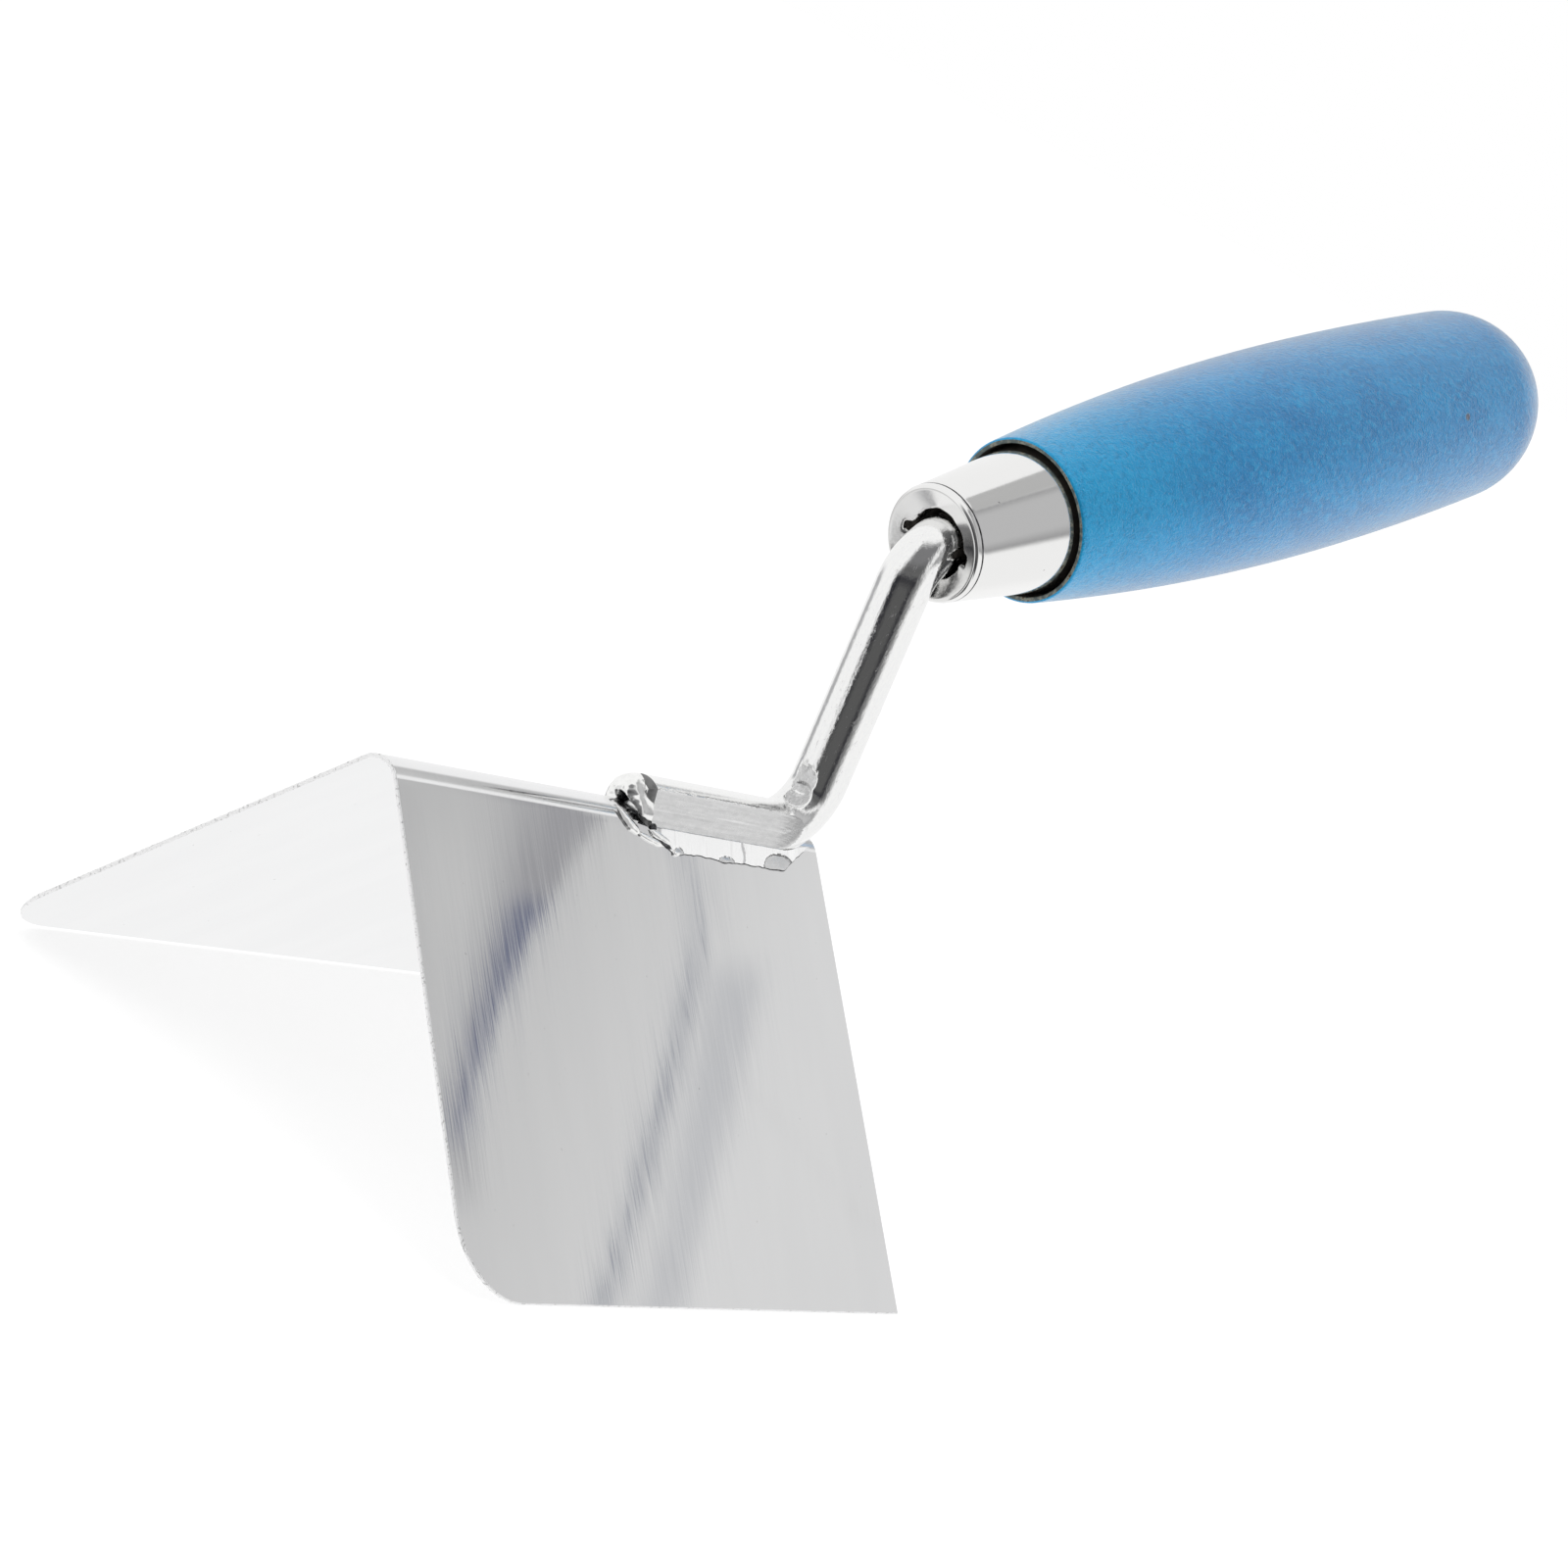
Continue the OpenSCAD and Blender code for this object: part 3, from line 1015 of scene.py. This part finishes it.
def painted_shade_material():
    """Painted shade: near-black patches in the toe bead's crater, on the dark beads beside it,
    along the fillets' lower edges and in the ferrule's crease.
    """
    made, shade = new_material("painted_shade_dark")
    lumps = shade.noise(shade.stretched(), 1300, 3, 0.6)
    dark, pale = (0.012, 0.012, 0.013, 1), (0.16, 0.16, 0.17, 1)
    tone = shade.mix(shade.remap(lumps, 0.4, 0.72), dark, pale)
    finish_material(shade, tone, 0.3, 0.8, (lumps, 0.0002, 0.7))
    return made


def ferrule_material(low, high):
    """Pressed bright steel with a few pits, between two roughnesses."""
    made, shade = new_material("pressed_steel")
    grain = shade.noise(shade.stretched(), 2000, 3, 0.6)
    pits = shade.noise(shade.stretched(), 700, 2, 0.5)
    tone = shade.mix(shade.remap(pits, 0.77, 0.79), (0.88, 0.877, 0.87, 1), (0.25, 0.24, 0.23, 1))
    rough = shade.remap(grain, 0.3, 0.7, low, high)
    finish_material(shade, tone, rough, 1.0, (grain, 0.000008, 0.3))
    return made


def handle_material(spot):
    """Metallic blue paint over sanded wood, with one small worn-through spot, and painted light
    that makes it paler towards the mouth.
    """
    made, shade = new_material("metallic_blue_paint")
    fleck = shade.noise(shade.stretched(), 3600, 2, 0.6)
    peel = shade.noise(shade.stretched((0.7, 1, 1)), 1300, 3, 0.7, 0.5)
    cloud = shade.noise(shade.stretched((0.6, 1, 1)), 110, 5, 0.65)
    crack = shade.noise(shade.stretched((0.35, 1, 1)), 300, 4, 0.7, 1.5)
    front = shade.add("ShaderNodeSeparateXYZ", {0: shade.stretched()}).outputs["X"]
    # uneven paint, and painted light making it paler and more cyan towards the mouth
    blue = shade.mix(shade.remap(cloud, 0.3, 0.7), (0.002, 0.225, 0.56, 1), (0.003, 0.31, 0.69, 1))
    # painted light: a paler cyan towards the mouth
    blue = shade.mix(shade.remap(front, 0.030, -0.010, 0, 0.65), blue, (0.012, 0.48, 0.86, 1))
    # darker hollows, brighter heights, bright flecks and hairline cracks
    blue = shade.mix(shade.remap(peel, 0.50, 0.36, 0, 0.30), blue, (0.002, 0.15, 0.36, 1))
    blue = shade.mix(shade.remap(peel, 0.50, 0.66, 0, 0.45), blue, (0.03, 0.46, 0.80, 1))
    blue = shade.mix(shade.remap(fleck, 0.60, 0.76, 0, 0.8), blue, (0.07, 0.58, 0.95, 1))
    blue = shade.mix(shade.remap(crack, 0.70, 0.72, 0, 0.5), blue, (0.02, 0.07, 0.13, 1))
    # the worn spot
    from_spot = shade.vector("LENGTH", shade.vector("SUBTRACT", shade.stretched(), spot))
    from_spot = shade.math("MULTIPLY_ADD", fleck, 0.0006, from_spot)
    blue = shade.mix(shade.remap(from_spot, 0.0011, 0.0006, 0, 0.8), blue, (0.10, 0.06, 0.04, 1))
    height = shade.math("MULTIPLY_ADD", peel, 2.0, fleck)
    rough = shade.remap(fleck, 0.3, 0.7, 0.30, 0.42)
    more = {
        "Specular IOR Level": 0.3,
        "Coat Weight": 0.3,
        "Coat Roughness": 0.3,
        "Sheen Weight": 1.0,
        "Sheen Roughness": 0.38,
    }
    finish_material(shade, blue, rough, 0.6, (height, 0.00022, 0.7), more)
    return made


def worn_material():
    """Chipped rim at the handle's mouth: grey-green paint over brown wood."""
    made, shade = new_material("worn_rim")
    chips = shade.noise(shade.stretched(), 900, 3, 0.6)
    tone = shade.mix(shade.remap(chips, 0.45, 0.6), (0.11, 0.14, 0.14, 1), (0.30, 0.31, 0.26, 1))
    tone = shade.mix(shade.remap(chips, 0.62, 0.7), tone, (0.12, 0.07, 0.03, 1))
    finish_material(shade, tone, 0.7, 0.0, (chips, 0.0002, 0.6))
    return made


def bare_wood_and_shade_material():
    """Unpainted wood inside the mouth, darkened to near black by painted shade."""
    made, shade = new_material("bare_wood_and_shade")
    grain = shade.noise(shade.stretched((0.1, 1, 1)), 900, 4, 0.6)
    tone = shade.mix(grain, (0.016, 0.014, 0.012, 1), (0.05, 0.042, 0.035, 1))
    finish_material(shade, tone, 0.85, 0.0, (grain, 0.0002, 0.5))
    return made


# ---------------------------------------------------------------- studio


def band(shade, value, low, high, soft):
    """1 where a value lies between two limits, with soft edges."""
    start = shade.remap(value, low - soft, low + soft)
    return shade.product(start, shade.remap(value, high + soft, high - soft))


# The studio's panels: range of directions round the object (0 is STUDIO_FRONT, and the camera
# stands at about -28), range above the horizon and softness, all in degrees, and colour
STUDIO_PANELS = (
    ((110, 165), (-62, -16), 10, grey(1.0)),
    ((-60, 18), (0, 52), 9, (0.20, 0.20, 0.205, 1)),
    ((-62, 17), (-6, 17), 10, grey(0.09)),
    ((-60, 33), (-44, 6), 9, grey(0.22)),
    ((-72, 14), (-44, 4), 6, (0.03, 0.03, 0.035, 1)),
    ((-50, 2), (-32, -6), 9, grey(0.10)),
    ((80, 150), (66, 79), 4, grey(0.50)),
    ((30, 80), (10, 78), 4, (0.33, 0.33, 0.335, 1)),
    ((38, 75), (17, 68), 9, (0.53, 0.53, 0.535, 1)),
    ((113, 138), (24, 42), 4, grey(0.52)),
    ((-162, -136), (-30, -6), 5, (0.45, 0.45, 0.46, 1)),
    ((-130, -90), (-60, -30), 12, grey(0.62)),
)
STUDIO_FRONT = Vector((-0.5, -0.866, 0))
STUDIO_SIDE = Vector((0.866, -0.5, 0))


def build_world():
    """A white studio tent with soft grey panels, the darkest round the camera."""
    world = bpy.data.worlds.new("studio")
    bpy.context.scene.world = world
    world.use_nodes = True
    shade = Shade(world.node_tree)
    look = shade.add("ShaderNodeTexCoord").outputs["Generated"]
    ahead = shade.vector("DOT_PRODUCT", look, STUDIO_FRONT)
    aside = shade.vector("DOT_PRODUCT", look, STUDIO_SIDE)
    around_it = shade.math("ARCTAN2", aside, ahead)
    rise = shade.math("ARCSINE", shade.add("ShaderNodeSeparateXYZ", {0: look}).outputs["Z"])
    tone = grey(0.96)
    for round_range, rise_range, soft_deg, colour in STUDIO_PANELS:
        soft = math.radians(soft_deg)
        across = band(shade, around_it, *map(math.radians, round_range), soft)
        tall = band(shade, rise, *map(math.radians, rise_range), soft)
        tone = shade.mix(shade.product(across, tall), tone, colour)
    for shape, colour in blade_reflections(shade, look):
        tone = shade.mix(shape, tone, colour)
    sees = shade.add("ShaderNodeLightPath").outputs["Is Camera Ray"]
    tone = shade.mix(sees, tone, grey(1.0))
    back = shade.add("ShaderNodeBackground", {"Color": tone, "Strength": 1.0})
    end = shade.add("ShaderNodeOutputWorld")
    shade.tree.links.new(back.outputs[0], end.inputs["Surface"])


# The left flange is nearly a flat mirror. The shapes that it shows are laid out in millimetres
# along the fold (u) and down the flange (v), as seen from EYE_AWAY off the flange's plane, at
# EYE_U along it and EYE_V down it.
EYE_AWAY = 322.3
EYE_U = -424.0
EYE_V = 140.6


def mirrored_place(shade, look):
    """Where the flange mirrors a direction (u and v), and how squarely the two face."""
    out = Vector((0, -math.cos(HALF), math.sin(HALF)))
    down = Vector((0, -math.sin(HALF), -math.cos(HALF)))
    outward = shade.vector("DOT_PRODUCT", look, out)
    facing = shade.math("MAXIMUM", outward, 0.05)
    along = shade.math("DIVIDE", shade.vector("DOT_PRODUCT", look, Vector((1, 0, 0))), facing)
    below = shade.math("DIVIDE", shade.vector("DOT_PRODUCT", look, down), facing)
    u = shade.math("MULTIPLY_ADD", along, EYE_AWAY, EYE_U)
    v = shade.math("MULTIPLY_ADD", below, EYE_AWAY, EYE_V)
    return u, v, outward


def grey_wedge(shade, u, v, near):
    """A grey wedge with a crisp right edge, which narrows and turns blue towards the front."""
    left = shade.remap(v, 4, 50, 1, 0, "LINEAR")
    edge = shade.math("MULTIPLY_ADD", shade.math("POWER", left, 1.35), 39.0, 4.5)
    width = shade.math("MULTIPLY_ADD", shade.math("POWER", left, 2.0), 14.0, 3.8)
    across = shade.math("DIVIDE", shade.math("SUBTRACT", edge, u), width)
    right, fade = shade.remap(across, -0.02, 0.06), shade.remap(across, 1.7, 0.4)
    wedge = shade.product(right, fade, near, shade.remap(v, 61, 50), 0.85)
    right, fade = shade.remap(across, -0.01, 0.1), shade.remap(across, 0.95, 0.5)
    blue = shade.product(right, fade, near, band(shade, v, 18, 50, 2.5), 0.9)
    return [(wedge, (0.31, 0.31, 0.33, 1)), (blue, (0.13, 0.15, 0.24, 1))]


def bent_bands(shade, u, v, near):
    """A thin band that bends once, over a wide faint one beside it."""
    arm = shade.math("SUBTRACT", v, 14.0)
    arm = shade.math("SQRT", shade.math("MULTIPLY_ADD", arm, arm, 64.0))
    spine = shade.math("SUBTRACT", 65.8, shade.math("MULTIPLY", arm, 0.72))
    off = shade.math("SUBTRACT", u, spine)
    inner = shade.math("SUBTRACT", off, shade.remap(v, 24, 68, 4.0, 8.0, "LINEAR"))
    left, right = shade.remap(inner, 0, 5), shade.remap(off, 20.5, 15.5)
    wide = shade.product(left, right, near, shade.remap(v, 19, 27), 0.62)
    left, right = shade.remap(off, -0.3, 0.3), shade.remap(off, 4.4, 1.8)
    thin = shade.product(left, right, near, shade.remap(v, 8, 34, 0.65, 1.0))
    return [(wide, (0.47, 0.48, 0.51, 1)), (thin, (0.33, 0.345, 0.39, 1))]


def faint_marks(shade, u, v, near):
    """A paler patch, a thin dim line inside the front edge, and a faint line that slopes down
    towards the back."""
    patch = shade.product(band(shade, u, 1, 14, 6), band(shade, v, 11, 23, 5), 0.3)
    front = shade.product(band(shade, u, 0.5, 1.1, 0.3), band(shade, v, 3, 58, 2), 0.6)
    beside = shade.math("MULTIPLY", shade.math("SUBTRACT", v, 29.2), 0.788)
    beside = shade.math("MULTIPLY_ADD", shade.math("SUBTRACT", u, 54.4), -0.616, beside)
    ends = band(shade, u, 55, 92, 2)
    line = shade.product(band(shade, beside, -0.3, 0.3, 0.25), ends, near, 0.3)
    return [(patch, grey(0.64)), (front, (0.34, 0.34, 0.35, 1)), (line, grey(0.44))]


def blade_reflections(shade, look):
    """(shape, colour) of each soft dim shape that the left flange mirrors."""
    u, v, outward = mirrored_place(shade, look)
    near = shade.product(band(shade, u, -18, 118, 12), band(shade, v, -12, 78, 4))
    near = shade.product(near, shade.remap(outward, 0.2, 0.4))
    slope = shade.math("MULTIPLY_ADD", v, 0.8, u)
    pale = shade.mix(shade.remap(slope, 8, 100, kind="LINEAR"), grey(0.54), grey(0.755))
    shapes = [(near, pale)]
    for part in (grey_wedge, bent_bands, faint_marks):
        shapes += part(shade, u, v, near)
    return shapes


def build_floor():
    """A plain pale floor just under the object, hidden from reflections."""
    made, shade = new_material("studio_floor")
    coordinates = shade.add("ShaderNodeTexCoord").outputs["Object"]
    paper = shade.noise(coordinates, 40, 3, 0.5)
    tone = shade.mix(shade.remap(paper, 0.3, 0.7), grey(0.335), grey(0.345))
    glow = {"Specular IOR Level": 0.0, "Emission Color": grey(1.0), "Emission Strength": 0.8}
    finish_material(shade, tone, 0.9, more=glow)
    mesh = bpy.data.meshes.new("floor")
    reach = 4.0
    corners = [(-reach, -reach, 0), (reach, -reach, 0), (reach, reach, 0), (-reach, reach, 0)]
    mesh.from_pydata(corners, [], [(0, 1, 2, 3)])
    mesh.materials.append(made)
    floor = bpy.data.objects.new("floor", mesh)
    floor.location = (0, 0, cad_box[0][2] - 0.0002)
    floor.visible_glossy = False
    bpy.context.scene.collection.objects.link(floor)


def add_area(name, location, target, size, power):
    """A round soft light that points at a target, hidden from reflections."""
    light = bpy.data.lights.new(name, "AREA")
    light.shape = "DISK"
    light.size = size
    light.energy = power
    made = bpy.data.objects.new(name, light)
    made.location = location
    made.rotation_euler = (Vector(target) - Vector(location)).to_track_quat("-Z", "Y").to_euler()
    made.visible_glossy = False
    bpy.context.scene.collection.objects.link(made)


def build_camera():
    """The photograph's camera: low, in front of the left flange, and rolled."""
    camera = bpy.data.cameras.new("camera")
    camera.sensor_width = 36
    camera.lens = 102.46
    camera.clip_start = 0.01
    made = bpy.data.objects.new("camera", camera)
    right = Vector((0.5574, -0.7007, 0.4454))
    up = Vector((-0.1113, 0.4686, 0.8764))
    back = Vector((-0.8228, -0.5381, 0.1832))
    turn = Matrix((right, up, back)).transposed().to_4x4()
    made.matrix_world = Matrix.Translation((-0.53257, -0.33140, 0.16888)) @ turn
    bpy.context.scene.collection.objects.link(made)
    bpy.context.scene.camera = made


bpy.context.scene.view_settings.view_transform = "Standard"
build_camera()
build_world()
build_floor()
add_area("key", (-0.2, -0.3, 1.2), (0, 0, 0.08), 0.8, 2)

weld_steel = weld_material()
bright_edge = edge_material()
sheet_steel = blade_material("polished_sheet", 0.02, 0.05)
build_blade(sheet_steel, bright_edge, blade_material("polished_fold", 0.10, 0.16))
ground_steel = ground_material()
# near-black painted shade for the toe's crater and dark beads, the fillets' lower edges and the
# ferrule's crease
painted_shade = painted_shade_material()
ground_weld = ground_weld_material()
painted_grey = painted_grey_material()
build_shank(rod_material(), ground_steel, painted_grey, bright_edge)
for side in (-1, 1):
    build_fillet(side, [ground_weld, painted_shade, ground_steel, painted_grey])
build_toe(weld_steel, painted_shade)
build_ferrule(ferrule_material(0.06, 0.11), ferrule_material(0.14, 0.2), painted_shade)
worn_spot = place_on_neck(body_r(SPOT_S), SPOT_ANGLE, FERRULE_LEN + SPOT_S)
build_handle(handle_material(worn_spot), worn_material(), bare_wood_and_shade_material())
